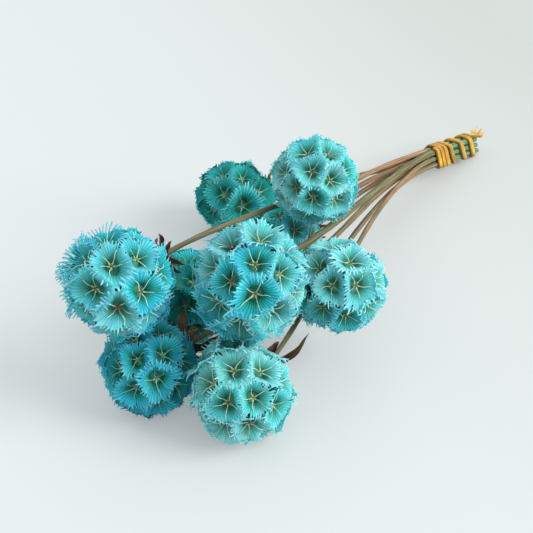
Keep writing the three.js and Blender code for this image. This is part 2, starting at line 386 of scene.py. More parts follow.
def lay_uv(piece, across_of, along_of, period=None):
    """A UV map from each corner's place. Across runs round the piece, without a jump in a face."""
    mesh = piece.data
    corners = corners_of(piece)
    across, along = across_of(corners), along_of(corners)
    layer = mesh.uv_layers.get("along") or mesh.uv_layers.new(name="along")
    for face in mesh.polygons:
        loops = list(face.loop_indices)
        us = np.array([across[mesh.loops[n].vertex_index] for n in loops])
        if period and us.max() - us.min() > period / 2:
            us[us < us.max() - period / 2] += period
        for n, u in zip(loops, us):
            layer.data[n].uv = (u, along[mesh.loops[n].vertex_index])


# Finishes

class Finish:
    """A material made of nodes. Numbers that are the same all over sit on the shader itself."""

    def __init__(self, name):
        self.material = bpy.data.materials.new(name)
        self.material.use_nodes = True
        self.tree = self.material.node_tree
        self.tree.nodes.clear()

    def node(self, kind, inputs=(), **settings):
        node = self.tree.nodes.new(kind)
        for key, value in settings.items():
            setattr(node, key, value)
        for key, value in dict(inputs).items():
            if isinstance(value, bpy.types.NodeSocket):
                self.tree.links.new(value, node.inputs[key])
            else:
                node.inputs[key].default_value = value
        return node

    def math(self, operation, a, b=0.0, clamp=False):
        node = self.node("ShaderNodeMath", {0: a, 1: b}, operation=operation, use_clamp=clamp)
        return node.outputs[0]

    def times(self, a, b):
        return self.math("MULTIPLY", a, b, clamp=True)

    def within(self, value, low, high, to_low=0.0, to_high=1.0):
        inputs = {0: value, 1: low, 2: high, 3: to_low, 4: to_high}
        return self.node("ShaderNodeMapRange", inputs).outputs[0]

    def ramp(self, value, stops):
        node = self.node("ShaderNodeValToRGB", {0: value})
        elements = node.color_ramp.elements
        while len(elements) < len(stops):
            elements.new(0.5)
        for element, (place, colour) in zip(elements, stops):
            element.position = place
            element.color = (*colour, 1)
        return node.outputs[0]

    def mix(self, share, a, b, blend="MIX"):
        a, b = [(*colour, 1) if isinstance(colour, tuple) else colour for colour in (a, b)]
        inputs = {0: share, 6: a, 7: b}
        return self.node("ShaderNodeMix", inputs, data_type="RGBA", blend_type=blend).outputs[2]

    def vary(self, noise, low, high):
        """A number that wanders between low and high with a noise."""
        return self.within(noise, 0.3, 0.7, low, high)

    def place(self):
        return self.node("ShaderNodeTexCoord").outputs["Object"]

    def noise(self, scale, detail, at=None, stretch=None):
        at = at or self.place()
        if stretch:
            at = self.node("ShaderNodeMapping", {"Vector": at, "Scale": stretch}).outputs[0]
        inputs = {"Vector": at, "Scale": scale, "Detail": detail}
        return self.node("ShaderNodeTexNoise", inputs).outputs[0]

    def uv(self):
        return self.node("ShaderNodeUVMap", uv_map="along").outputs[0]

    def split(self, vector):
        return self.node("ShaderNodeSeparateXYZ", {0: vector}).outputs

    def attribute(self, name):
        return self.node("ShaderNodeAttribute", attribute_name=name).outputs["Fac"]

    def bump(self, height, distance, strength):
        inputs = {"Height": height, "Distance": distance, "Strength": strength}
        return self.node("ShaderNodeBump", inputs).outputs[0]

    def shade(self, colour, roughness, normal, glow=0.0, **fixed):
        """The shader. glow: the share of light that comes through thin material."""
        inputs = {"Base Color": colour, "Roughness": roughness, "Normal": normal, **fixed}
        last = self.node("ShaderNodeBsdfPrincipled", inputs).outputs[0]
        if glow:
            through = self.node("ShaderNodeBsdfTranslucent", {"Color": colour, "Normal": normal})
            both = self.node("ShaderNodeMixShader", {0: glow, 1: last, 2: through.outputs[0]})
            last = both.outputs[0]
        self.node("ShaderNodeOutputMaterial", {"Surface": last})
        return self.material


def dyed_paper():
    """Thin pleated paper: dark green in the funnel, turquoise up the wall, pale ribs and rim, with
    painted highlight and painted shade set by the rim number.
    """
    f = Finish("dyed_paper")
    across, along, _ = f.split(f.uv())
    rib = f.math("FRACT", f.math("SUBTRACT", across, 1 / 6))
    rib = f.within(f.math("ABSOLUTE", f.math("SUBTRACT", rib, 0.5)), 0.3, 0.43)
    blotch = f.noise(420.0, 3.0)
    uneven = f.math("ADD", along, f.vary(blotch, -0.1, 0.1))
    depth = f.math("MULTIPLY", uneven, 0.75)
    web = f.ramp(depth, [(0.0, (0.016, 0.23, 0.155)), (0.14, (0.016, 0.39, 0.3)),
                         (0.32, (0.014, 0.54, 0.5)), (0.48, (0.018, 0.69, 0.7)),
                         (0.64, (0.035, 0.79, 0.83)), (0.82, (0.05, 0.8, 0.845)),
                         (1.0, (0.035, 0.69, 0.8))])
    thread = f.ramp(depth, [(0.0, (0.05, 0.35, 0.225)), (0.14, (0.07, 0.54, 0.43)),
                            (0.32, (0.13, 0.71, 0.65)), (0.48, (0.29, 0.83, 0.82)),
                            (0.64, (0.5, 0.88, 0.885)), (0.82, (0.5, 0.88, 0.885)),
                            (1.0, (0.2, 0.79, 0.86))])
    colour = f.mix(rib, web, thread)
    dye = f.attribute("dye")
    rim = f.attribute("rim")
    # Deeper, bluer dye where the dye number is high; on head b this is partly painted shade.
    deeper = f.math("ADD", dye, f.within(f.noise(95.0, 2.0), 0.35, 0.65, -0.35, 0.35))
    deeper = f.times(f.within(deeper, -0.2, 0.8, 0.0, 0.6), f.within(along, 0.1, 0.6))
    colour = f.mix(deeper, colour, (0.01, 0.44, 0.7))
    # Painted highlight, partly the real paleness of dried rims: a rim number above zero pales the
    # upper wall, more on the ribs.
    paler = f.times(f.within(rim, 0.0, 0.8, 0.0, 0.7), f.within(along, 0.1, 0.8))
    uneven_rib = f.noise(1.0, 1.0, at=f.uv(), stretch=(0.9, 0.8, 1.0))
    paler = f.times(paler, f.within(uneven_rib, 0.35, 0.6, 0.2, 1.6))
    paler = f.times(paler, f.within(rib, 0.0, 1.0, 0.6, 1.3))
    colour = f.mix(paler, colour, (0.72, 0.9, 0.91))
    # More painted highlight where the rim number is above zero.
    colour = f.mix(f.within(rim, 0.0, 0.4, 0.0, 0.25), colour, (0.32, 0.86, 0.86))
    # Painted shade: a rim number below -0.3 darkens the paper towards deep teal-green, mostly on
    # heads b, g and i.
    colour = f.mix(f.within(rim, -0.3, -0.9, 0.0, 0.85), colour, (0.016, 0.35, 0.31))
    straw = f.times(f.within(f.noise(170.0, 2.0), 0.56, 0.75), f.within(along, 1.1, 0.1))
    colour = f.mix(f.math("MULTIPLY", straw, 0.45), colour, (0.26, 0.36, 0.13))
    grain = f.noise(1.0, 4.0, at=f.uv(), stretch=(9.0, 2.0, 1.0))
    colour = f.mix(f.within(grain, 0.35, 0.65, 0.0, 0.2), colour, (0.02, 0.16, 0.19), "MULTIPLY")
    roughness = f.vary(grain, 0.62, 0.85)
    normal = f.bump(f.math("ADD", grain, f.math("MULTIPLY", rib, 0.6)), 0.00008, 0.6)
    return f.shade(colour, roughness, normal, glow=0.56, **{"Specular IOR Level": 0.05})


def star_bristle():
    """The cream star: green-yellow scales at its heart, pale bristles."""
    f = Finish("star_bristle")
    _, along, _ = f.split(f.uv())
    patch = f.noise(300.0, 2.0)
    colour = f.ramp(f.math("ADD", along, f.vary(patch, -0.05, 0.05)),
                    [(0.0, (0.035, 0.035, 0.014)), (0.07, (0.11, 0.13, 0.045)),
                     (0.14, (0.34, 0.4, 0.17)), (0.28, (0.52, 0.6, 0.4)),
                     (0.55, (0.66, 0.78, 0.64)), (0.76, (0.46, 0.8, 0.78))])
    rust = f.times(f.within(f.attribute("dye"), 0.75, 0.95), f.within(along, 0.4, 0.1))
    colour = f.mix(rust, colour, (0.16, 0.07, 0.025))
    # Painted shade: on heads with a rim number below zero the stars turn dark teal-green.
    colour = f.mix(f.within(f.attribute("rim"), 0.0, -0.5, 0.0, 0.7), colour, (0.08, 0.33, 0.24))
    normal = f.bump(f.noise(2200.0, 2.0), 0.00006, 0.5)
    return f.shade(colour, f.vary(patch, 0.45, 0.65), normal, glow=0.15)


def cup_base():
    """The stalk under each cup, and the dark bottom of its funnel."""
    f = Finish("cup_base")
    blotch = f.noise(500.0, 3.0)
    bottom = f.ramp(blotch, [(0.3, (0.014, 0.11, 0.075)), (0.5, (0.028, 0.2, 0.14)),
                             (0.7, (0.07, 0.28, 0.15))])
    stalk = f.ramp(blotch, [(0.3, (0.02, 0.26, 0.33)), (0.7, (0.05, 0.42, 0.5))])
    colour = f.mix(f.attribute("stalk"), bottom, stalk)
    roughness = f.vary(blotch, 0.7, 0.9)
    return f.shade(colour, roughness, f.bump(f.noise(1500.0, 3.0), 0.0001, 0.6))


def heart_wood():
    """The ball that the cups grow from, and its neck."""
    f = Finish("heart_wood")
    blotch = f.noise(260.0, 4.0)
    colour = f.ramp(blotch, [(0.3, (0.015, 0.15, 0.18)), (0.5, (0.03, 0.25, 0.29)),
                             (0.7, (0.11, 0.24, 0.17))])
    roughness = f.vary(blotch, 0.65, 0.9)
    return f.shade(colour, roughness, f.bump(f.noise(900.0, 4.0), 0.0002, 0.8))


def dry_leaf():
    """Dark brown bracts, with fine veins and paler, greener patches."""
    f = Finish("dry_leaf")
    blotch = f.noise(330.0, 4.0)
    colour = f.ramp(f.math("ADD", blotch, f.math("MULTIPLY", f.attribute("dye"), 0.25)),
                    [(0.3, (0.012, 0.006, 0.003)), (0.48, (0.042, 0.016, 0.007)),
                     (0.62, (0.1, 0.04, 0.016)), (0.8, (0.15, 0.115, 0.04))])
    vein = f.noise(1.0, 3.0, at=f.uv(), stretch=(14.0, 1.5, 1.0))
    colour = f.mix(f.within(vein, 0.4, 0.62, 0.0, 0.5), colour, (0.18, 0.09, 0.04))
    return f.shade(colour, f.vary(blotch, 0.5, 0.8), f.bump(vein, 0.0003, 0.7),
                   **{"Specular IOR Level": 0.2})


def dry_stem():
    """Ridged stems: tan to pinkish brown, with olive streaks, and green inside the band."""
    f = Finish("dry_stem")
    streak = f.noise(1.0, 4.0, at=f.uv(), stretch=(2.6, 60.0, 1.0))
    patch = f.noise(55.0, 3.0)
    olive = f.ramp(streak, [(0.3, (0.028, 0.024, 0.01)), (0.5, (0.098, 0.094, 0.046)),
                            (0.7, (0.2, 0.19, 0.095))])
    pink = f.ramp(streak, [(0.3, (0.06, 0.03, 0.014)), (0.5, (0.235, 0.13, 0.068)),
                           (0.7, (0.4, 0.24, 0.135))])
    place = f.split(f.place())
    share = f.math("ADD", f.within(patch, 0.4, 0.6, -0.3, 0.4),
                   f.within(place[0], 0.0, 0.04, 0.0, 0.5))
    share = f.math("ADD", share, f.attribute("dye"), clamp=True)
    colour = f.mix(share, olive, pink)
    green = f.ramp(streak, [(0.32, (0.02, 0.09, 0.045)), (0.55, (0.07, 0.2, 0.11)),
                            (0.75, (0.26, 0.36, 0.15))])
    inside = f.math("ADD", place[0], f.vary(patch, -0.006, 0.006))
    colour = f.mix(f.math("MULTIPLY", f.within(inside, 0.07, 0.086), 0.85), colour, green)
    return f.shade(colour, f.vary(streak, 0.5, 0.75), f.bump(streak, 0.00025, 0.6),
                   **{"Specular IOR Level": 0.2})


def tie_band():
    """A yellow-orange band, a little translucent, unevenly dark, with paler loose fibres."""
    f = Finish("tie_band")
    fibre = f.noise(1.0, 3.0, at=f.uv(), stretch=(7.0, 160.0, 1.0))
    patch = f.noise(240.0, 3.0)
    colour = f.ramp(f.math("ADD", f.math("MULTIPLY", fibre, 0.6), f.math("MULTIPLY", patch, 0.4)),
                    [(0.35, (0.23, 0.095, 0.005)), (0.5, (0.46, 0.225, 0.014)),
                     (0.66, (0.66, 0.39, 0.05))])
    colour = f.mix(f.attribute("dye"), colour, (0.72, 0.56, 0.2))
    return f.shade(colour, f.vary(patch, 0.35, 0.55), f.bump(fibre, 0.0002, 0.6),
                   glow=0.2)


FINISHES = {make.__name__: make() for make in
            (dyed_paper, star_bristle, cup_base, heart_wood, dry_leaf, dry_stem, tie_band)}


def coat(piece, finish):
    piece.data.materials.clear()
    piece.data.materials.append(FINISHES[finish])


# One cup: its paper, its star and its base, modelled once, with reach as x and y, share as z

def column(corner):
    return round(math.atan2(corner.y, corner.x) / (ONE_TURN) * COLUMNS) % COLUMNS


def cup_along(corners):
    return (np.hypot(corners[:, 0], corners[:, 1]) - PAPER_ROWS[0][0]) / (1 - PAPER_ROWS[0][0])


def cup_across(corners):
    return np.mod(np.arctan2(corners[:, 1], corners[:, 0]) / (ONE_TURN), 1) * RIBS


def model_paper(spans, widths=TEETH_WIDTH):
    """The pleated funnel: rows drawn up from a ring, every third column sunk, a tooth on each rib.

    spans: how far out the paper may still be whole, as rows and their chances."""
    (reach, share), *rows = PAPER_ROWS
    paper = begin(bpy.ops.mesh.primitive_circle_add, "cup_paper", vertices=COLUMNS, radius=reach,
                  location=(0, 0, share), fill_type="NOTHING")
    for wider, higher in rows:
        extrude((0, 0, higher - share), (wider / reach, wider / reach, 1))
        reach, share = wider, higher
    pick(paper, "VERT", lambda v: column(v.co) % 3 == 2 and v.co.z > 0.01)
    bpy.ops.transform.translate(value=(0, 0, -PLEAT_DEPTH))
    rim = PAPER_ROWS[-1][1] - PAPER_ROWS[0][1]
    pick(paper, "EDGE", lambda e: all(abs(v.co.z - rim) < 0.002 for v in e.verts)
         and sorted(column(v.co) % 3 for v in e.verts) == [0, 1])
    for wider, higher in TEETH_ROWS:
        extrude((0, 0, higher - share), (wider / reach, wider / reach, 1))
        reach, share = wider, higher
    rows_left, chances = zip(*spans)
    spanned = [PAPER_ROWS[draws.choices(rows_left, chances)[0]][0] for _ in range(RIBS)]

    def torn(face):
        columns = [column(v.co) for v in face.verts]
        gap = next((c // 3 for c in columns if c % 3 == 2), None)
        return gap is not None and face.calc_center_median().xy.length > spanned[gap]

    pick(paper, "FACE", torn)
    if any(face.select for face in bmesh.from_edit_mesh(paper.data).faces):
        bpy.ops.mesh.delete(type="FACE")
    close(paper)
    corners = corners_of(paper)
    around = np.arctan2(corners[:, 1], corners[:, 0])
    reach = np.hypot(corners[:, 0], corners[:, 1])
    middle = np.floor(around / PITCH + 1e-3) * PITCH + PITCH / 6
    for (wider, _), width in zip(TEETH_ROWS, widths):
        tooth = np.abs(reach - wider) < 0.01
        around[tooth] = middle[tooth] + (around[tooth] - middle[tooth]) * width
    corners[:, 0], corners[:, 1] = reach * np.cos(around), reach * np.sin(around)
    place_corners(paper, corners)
    if paper.data.polygons[0].normal.z < 0:
        paper.data.flip_normals()
    lay_uv(paper, cup_across, cup_along, RIBS)
    coat(paper, "dyed_paper")
    return paper


def model_star():
    """A button in the middle and five arms, each drawn out from a small plate and copied round."""
    reach, share, width, thickness = ARM[0]
    arm = begin(bpy.ops.mesh.primitive_plane_add, "star", size=1, location=(reach, 0, share),
                rotation=(0, math.pi / 2, 0))
    bpy.ops.transform.resize(value=(1, 2 * width, 2 * thickness), center_override=(reach, 0, share))
    for further, higher, narrower, thinner in ARM[1:]:
        extrude((further - reach, 0, higher - share), (1, narrower / width, thinner / thickness),
                (further, 0, higher))
        reach, share, width, thickness = further, higher, narrower, thinner
    bpy.ops.mesh.select_all(action="SELECT")
    bpy.ops.mesh.spin(steps=STAR_ARMS - 1, dupli=True, angle=ONE_TURN * (1 - 1 / STAR_ARMS),
                      center=(0, 0, 0), axis=(0, 0, 1))
    close(arm)
    button = begin(bpy.ops.mesh.primitive_uv_sphere_add, "button", segments=8, ring_count=5,
                   radius=BUTTON_RADIUS, location=(0, 0, BUTTON_SHARE))
    bpy.ops.transform.resize(value=(1, 1, BUTTON_FLATNESS), center_override=(0, 0, BUTTON_SHARE))
    close(button)
    star = join([arm, button], "star")
    lay_uv(star, cup_across, lambda corners: np.hypot(corners[:, 0], corners[:, 1]), RIBS)
    coat(star, "star_bristle")
    return star


def model_base():
    """The cup's stalk: a cone with a sunk top, which is the bottom of the funnel."""
    base = begin(bpy.ops.mesh.primitive_cone_add, "cup_base", vertices=14, radius1=0.3,
                 radius2=0.445, depth=0.33, location=(0, 0, 0.515))
    pick(base, "FACE", lambda face: face.normal.z > 0.9)
    bpy.ops.mesh.inset(thickness=0.12)
    bpy.ops.transform.translate(value=(0, 0, -0.02))
    close(base)
    lay_uv(base, cup_across, cup_along, RIBS)
    paint(base, corners_of(base)[:, 2] < STALK_TOP, "stalk")
    coat(base, "cup_base")
    return base


WHOLE = [model_paper(WHOLE_PAPER)]
WORN = [model_paper(WORN_PAPER, BLUNT_TEETH) for _ in range(2)]
FRAYED = [model_paper(FRAYED_PAPER) for _ in range(4)]
STAR = model_star()
BASE = model_base()


def curl_arms(around, reach, share):
    """Gives each arm of a star its own sway, curl, rise and length."""
    arm = np.round(around / (ONE_TURN / STAR_ARMS)).astype(int) % STAR_ARMS
    sway, curl, phase, rise, length = drawn(ARM_HABITS, STAR_ARMS)[arm].T
    out = np.clip(reach - ARM_ROOT, 0, None)
    bent = sway * out + curl * (np.sin(ARM_WAVES * out + phase) - np.sin(phase))
    around = around + bent / np.maximum(reach, ARM_ROOT)
    return around, np.where(out > 0, ARM_ROOT + out * length, reach), share + rise * out * out


def ruffle_rim(around, reach, share, ragged, longer):
    """Gives each rib its own length, lean and bend, and notches the paper between the ribs.

    ragged: how much they differ. longer: how much bare, worn ribs reach out beyond the rest."""
    place = around / PITCH + 0.1
    rib = np.floor(np.mod(place, RIBS)).astype(int) % RIBS
    valley = np.mod(place, 1) > 0.55
    length, notch, lean, bend, tooth = drawn(RIB_HABITS, RIBS)[rib].T
    length, notch = length * ragged + longer, notch * ragged
    calm, blunt = (0.12, 0.3) if longer else (0.8, 1.0)
    low, rim = PAPER_ROWS[2][0], PAPER_ROWS[-1][0]
    grown = np.clip((reach - low) / (rim - low), 0, None)
    beyond = np.clip(reach - rim, 0, None)
    tuft, uneven, ruffle = [np.interp(around, *ripple(*wave), period=ONE_TURN)
                            for wave in RIM_WAVES]
    further = low + (reach - low) * (1 + length + uneven) * (1 - notch * valley)
    reach = np.where(grown > 0, further, reach) + beyond * (tooth * blunt)
    share = share + grown ** 2 * (bend * calm + 0.3 * longer + ruffle)
    around = around + calm * grown ** 2 * (lean * PITCH + tuft)
    return around, reach, share


def fit_cup(piece, axes, i, radius, turn, table, lift, habit=None):
    """Moves a copied cup's corners from reach and share to its place on the head's ball."""
    corners = corners_of(piece)
    around = np.arctan2(corners[:, 1], corners[:, 0])
    reach = np.hypot(corners[:, 0], corners[:, 1])
    share = corners[:, 2].copy()
    if habit:
        around, reach, share = habit(around, reach, share)
    around = around + turn
    spread = np.interp(around, *table, period=ONE_TURN) * reach
    share = share + lift * np.clip(reach, 0, 1)
    sides = cup_sides(axes[i], around)
    way = np.outer(np.cos(spread), axes[i]) + sides * np.sin(spread)[:, None]
    place_corners(piece, way * share[:, None] * radius)


def ripple(size, waves):
    """A closed wave around a cup, as a table."""
    around = np.linspace(0, ONE_TURN, RIM_STEPS, endpoint=False)
    height = sum(draws.uniform(0.5, 1) * np.cos(k * around + draws.uniform(0, ONE_TURN))
                 for k in waves)
    return around, size * height / len(waves) ** 0.5


def build_head(letter):
    head = HEADS[letter]
    axes = cup_axes(head)
    radius = head["radius"]
    papers, stars = [], []
    for i in range(len(axes)):
        turn = math.radians(GOLDEN_ANGLE * i) + draws.uniform(-CUP_SWING, CUP_SWING)
        around, spreads = spread_table(axes, i, radius)
        lift = draws.uniform(-CUP_LIFT, CUP_LIFT)
        for azimuth, elevation, more in head.get("fuller", []):
            lift += more * max(0.0, float(axes[i] @ direction(azimuth, elevation))) ** 3
        fill = CUP_FILL + draws.uniform(*FILL_UNEVEN) + FILL_PER_LIFT * lift
        place = (axes, i, radius, turn, (around, spreads * fill), lift)
        worn = "worn" in head and axes[i] @ direction(*head["worn"]) > WORN_SIDE
        dye = head["dye"][0] + draws.uniform(*DYE_UNEVEN)
        # The rim number is partly the paleness the rims dried to and partly painted light: painted
        # highlight above zero, painted shade below zero.
        rim = head["dye"][1] + draws.uniform(*RIM_UNEVEN)
        paper = copy_of(draws.choice(WORN if worn else WHOLE + FRAYED), f"paper_{letter}_{i}")
        ragged, longer = WORN_RIBS if worn else (draws.uniform(*RAGGED), 0.0)
        fit_cup(paper, *place, lambda *corners: ruffle_rim(*corners, ragged, longer))
        paint(paper, dye)
        paint(paper, rim, "rim")
        papers.append(paper)
        star = copy_of(STAR, f"star_{letter}_{i}")
        fit_cup(star, *place, curl_arms)
        paint(star, draws.random())
        # The star takes the head's rim number, which paints shade on the stars of heads below zero.
        paint(star, head["dye"][1], "rim")
        base = copy_of(BASE, f"base_{letter}_{i}")
        fit_cup(base, *place)
        stars += [star, base]
    whole = join(papers, f"cups_{letter}")
    scale_up(whole, head)
    finish_with(whole, "SOLIDIFY", thickness=PAPER * MM, offset=0)
    inner = join(stars + [model_heart(head)], f"inner_{letter}")
    scale_up(inner, head)
    whole = join([whole, inner], f"seed_head_{letter}")
    smooth(whole, 50)
    if head.get("rests"):
        corners = corners_of(whole)
        corners[:, 2] = np.maximum(corners[:, 2], 0)
        place_corners(whole, corners)
    settle(whole, "dyed_cups", f"head_{letter}")


def scale_up(piece, head):
    """From millimetres about the head's middle to the bunch's own place, in metres."""
    place_corners(piece, (corners_of(piece) + np.array(head["at"]) + SHIFT) * MM)


def model_heart(head):
    """The ball in the middle of a head, with a neck drawn out of it towards the stem."""
    radius = head["radius"]
    back = direction(*head["back"])
    heart = begin(bpy.ops.mesh.primitive_ico_sphere_add, "heart", subdivisions=4,
                  radius=HEART_SIZE * radius)
    close(heart)
    end = neck_end(head)
    neck = begin(bpy.ops.mesh.primitive_cone_add, "neck", vertices=20, rotation=aim(back),
                 radius1=NECK_ROOT * radius, radius2=NECK_TIP, depth=end - NECK_START * radius,
                 location=tuple(back * (end / 2 + NECK_START / 2 * radius)))
    close(neck)
    heart = join([heart, neck], "heart")
    coat(heart, "heart_wood")
    paint(heart, 0.0)
    return heart


def settle(piece, slot, *nodes):
    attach(piece, "root")
    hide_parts(*nodes)


# Bracts

def model_bract():
    """A leaf one unit long on +X, drawn out in steps from a small plate to a point."""
    stations = [(0.0, 0.6, 0.9), (0.14, 0.85, 1.0), (0.32, 1.0, 1.0), (0.5, 0.98, 0.9),
                (0.68, 0.78, 0.8), (0.84, 0.45, 0.6), (1.0, 0.08, 0.3)]
    x, width, thick = stations[0]
    leaf = begin(bpy.ops.mesh.primitive_grid_add, "bract", x_subdivisions=2,
                 y_subdivisions=4, size=1, rotation=(0, math.pi / 2, 0))
    bpy.ops.transform.resize(value=(1, width, 0.16 * thick), center_override=(0, 0, 0))
    for further, wider, thicker in stations[1:]:
        extrude((further - x, 0, 0), (1, wider / width, thicker / thick), (further, 0, 0))
        x, width, thick = further, wider, thicker
    close(leaf)
    finish_with(leaf, "SUBSURF", levels=1, render_levels=1)
    lay_uv(leaf, lambda corners: corners[:, 1], lambda corners: corners[:, 0])
    coat(leaf, "dry_leaf")
    return leaf


BRACT_LEAF = model_bract()


def bend_bract(leaf, start, out, back, length, width, lifts, curl, twist, sway):
    """Lays the straight leaf along its own curve, out from the disc and then along the stem."""
    corners = corners_of(leaf)
    along = np.clip(corners[:, 0], 0, 1)
    edge = np.cross(back, out)
    places, fronts = [start], []
    for n in range(LEAF_STEPS):
        t = (n + 0.5) / LEAF_STEPS
        lift = math.radians(np.interp(t, (0, 0.5, 1), lifts))
        fronts.append(out * math.cos(lift) + back * math.sin(lift) + edge * sway * t)
        places.append(places[-1] + fronts[-1] * length / LEAF_STEPS)
    fronts.append(fronts[-1])
    places, fronts = np.array(places), np.array(fronts)
    at = along * LEAF_STEPS
    low = np.clip(at.astype(int), 0, LEAF_STEPS - 1)
    place = places[low] + (places[low + 1] - places[low]) * (at - low)[:, None]
    front = unit_rows(fronts[low])
    normal = unit_rows(np.cross(front, np.broadcast_to(edge, front.shape)))
    side = np.cross(normal, front)
    turn = twist * along ** 1.5
    side, normal = (side * np.cos(turn)[:, None] + normal * np.sin(turn)[:, None],
                    normal * np.cos(turn)[:, None] - side * np.sin(turn)[:, None])
    phases = [draws.uniform(0, 6) for _ in LEAF_WAVES]
    waves = np.sin(np.outer(along, LEAF_WAVES) + phases) * along[:, None]
    across = corners[:, 1] * width * (1 + 0.25 * waves[:, 0])
    up = corners[:, 2] * width - curl * (2 * corners[:, 1]) ** 2 * width * 0.5
    up = up + width * (0.1 * waves[:, 1] + 0.22 * waves[:, 2] * corners[:, 1])
    place_corners(leaf, place + side * across[:, None] + normal * up[:, None])


def build_bracts(n, letter):
    head = HEADS[letter]
    back = direction(*head["back"])
    across, over = square_to(back)
    start = neck_end(head) + GAP
    leafy, blades = head.get("leafy", 1.0), head.get("blades", {})
    disc = begin(bpy.ops.mesh.primitive_cone_add, "disc", vertices=24, radius1=DISC_RADIUS,
                 radius2=DISC_RADIUS * 0.6, depth=DISC_THICKNESS,
                 location=tuple(back * (start + DISC_THICKNESS / 2)),
                 rotation=aim(back))
    bpy.ops.mesh.bevel(offset=0.2, segments=2, affect="EDGES")
    close(disc)
    lay_uv(disc, lambda corners: corners[:, 0] * 0.3, lambda corners: corners[:, 1] * 0.3)
    coat(disc, "dry_leaf")
    paint(disc, 0.3)
    leaves = [disc]
    for k in range(BRACT_COUNT):
        around = math.radians(WHORL_TURN * n + 360 * k / BRACT_COUNT)
        out = across * math.cos(around) + over * math.sin(around)
        wave = math.sin(2 * around + math.radians(WHORL_TURN * n))
        length = BRACT_LENGTH + BRACT_UNEVEN * wave
        leaf = copy_of(BRACT_LEAF, f"leaf_{letter}_{k}")
        grown, wider, middle, tip, curl, twist, sway = drawn(BRACT_HABITS, 1)[0]
        lifts = np.array([10, middle, tip]) * head.get("nodding", 1.0)
        habit = (length * leafy * grown, BRACT_WIDTH * leafy * wider, lifts, curl, twist, sway)
        bend_bract(leaf, back * (start + LEAF_ROOT) + out * DISC_RADIUS * LEAF_ROOT, out, back,
                   *blades.get(k, habit))
        shade = draws.uniform(*LEAF_SHADES)
        paint(leaf, BLADE_SHADE if k in blades else shade)
        leaves.append(leaf)
    whorl = join(leaves, f"bract_whorl_{letter}")
    scale_up(whorl, head)
    smooth(whorl, 50)
    settle(whorl, "bract", f"bracts_{letter}")


# Stems

def stem_knots(head):
    """The way a stem leaves its whorl, the place where it does, and where it joins the bundle."""
    back = direction(*head["back"])
    first = np.array(head["at"]) + back * (neck_end(head) + 2 * GAP + DISC_THICKNESS)
    return back, first, BUNDLE_START + slot_offset(head)


def model_profile():
    """The section of a stem: round, with low ridges."""
    select_none()
    bpy.ops.curve.primitive_nurbs_circle_add(radius=1)
    outline = bpy.context.active_object
    spline = outline.data.splines
    spline.clear()
    ridged = spline.new("POLY")
    ridged.points.add(STEM_CORNERS - 1)
    for n, point in enumerate(ridged.points):
        around = ONE_TURN * n / STEM_CORNERS
        radius = 0.965 + 0.05 * math.cos(STEM_RIDGES * around)
        point.co = (radius * math.cos(around), radius * math.sin(around), 0, 1)
    ridged.use_cyclic_u = True
    outline.name = "stem_section"
    return outline


def build_stem(letter, section):
    head = HEADS[letter]
    back, first, enters = stem_knots(head)
    end = BUNDLE_END + slot_offset(head)
    select_none()
    bpy.ops.curve.primitive_bezier_curve_add(radius=1)
    stem = bpy.context.active_object
    curve = stem.data
    points = curve.splines[0].bezier_points
    points.add(1)
    places = [first, enters, end]
    befores = [first - back, enters - bundle_way * head["keeps"][1], end - bundle_way]
    afters = [first + back * head["keeps"][0], enters + bundle_way * 5, end + bundle_way]
    for n, point in enumerate(points):
        point.handle_left_type = point.handle_right_type = "FREE"
        point.co = (places[n] + SHIFT) * MM
        point.handle_left = (befores[n] + SHIFT) * MM
        point.handle_right = (afters[n] + SHIFT) * MM
        point.radius = head["stem"] * MM * (STEM_THIN if n == 0 else 1)
    curve.dimensions = "3D"
    curve.resolution_u = 44
    curve.bevel_mode = "OBJECT"
    curve.bevel_object = section
    curve.use_fill_caps = True
    curve.splines[0].radius_interpolation = "LINEAR"
    alone(stem)
    bpy.ops.object.convert(target="MESH")
    stem = bpy.context.active_object
    stem.name = stem.data.name = f"ridged_stem_{letter}"
    return stem


def finish_stem(letter, stem):
    """Welds the caps, lets the stem swell and thin a little along its length, and lays its finish
    along it.
    """
    bpy.ops.object.mode_set(mode="EDIT")
    bpy.ops.mesh.select_all(action="SELECT")
    bpy.ops.mesh.remove_doubles(threshold=0.00002)
    close(stem)
    head = HEADS[letter]
    corners = corners_of(stem) / MM - SHIFT
    back, first, enters = stem_knots(head)
    t = np.linspace(0, 1, 200)[:, None]
    p1, p2 = first + back * head["keeps"][0], enters - bundle_way * head["keeps"][1]
    path = ((1 - t) ** 3 * first + 3 * (1 - t) ** 2 * t * p1 + 3 * (1 - t) * t ** 2 * p2
            + t ** 3 * enters)
    straight = np.linspace(0, 1, 60)[1:, None]
    path = np.vstack([path, enters + straight * (BUNDLE_END - BUNDLE_START)])
    ahead = unit_rows(np.gradient(path, axis=0))
    run = np.concatenate([[0], np.cumsum(np.linalg.norm(np.diff(path, axis=0), axis=1))])
    nearest = np.array([np.argmin(((path - corner) ** 2).sum(1)) for corner in corners])
    off = corners - path[nearest]
    sideways = unit_rows(np.cross(ahead[nearest], UP))
    upwards = np.cross(sideways, ahead[nearest])
    around = np.arctan2((off * upwards).sum(1), (off * sideways).sum(1))
    along = run[nearest]
    swell = 1 + 0.05 * np.sin(along * 0.21 + 5 * draws.random()) + 0.03 * np.sin(along * 0.53)
    swell = 1 + (swell - 1) * np.clip((run[-1] - CALM_END - along) / CALM_LENGTH, 0, 1)
    place_corners(stem, (path[nearest] + off * swell[:, None] + SHIFT) * MM)
    lay_uv(stem, lambda _: np.mod(around / (ONE_TURN), 1) * STEM_RIDGES,
           lambda _: along * MM, STEM_RIDGES)
    coat(stem, "dry_stem")
    paint(stem, STEM_SHADES[letter])
    smooth(stem, 60)
    settle(stem, "stem", f"stem_{letter}")


# The band

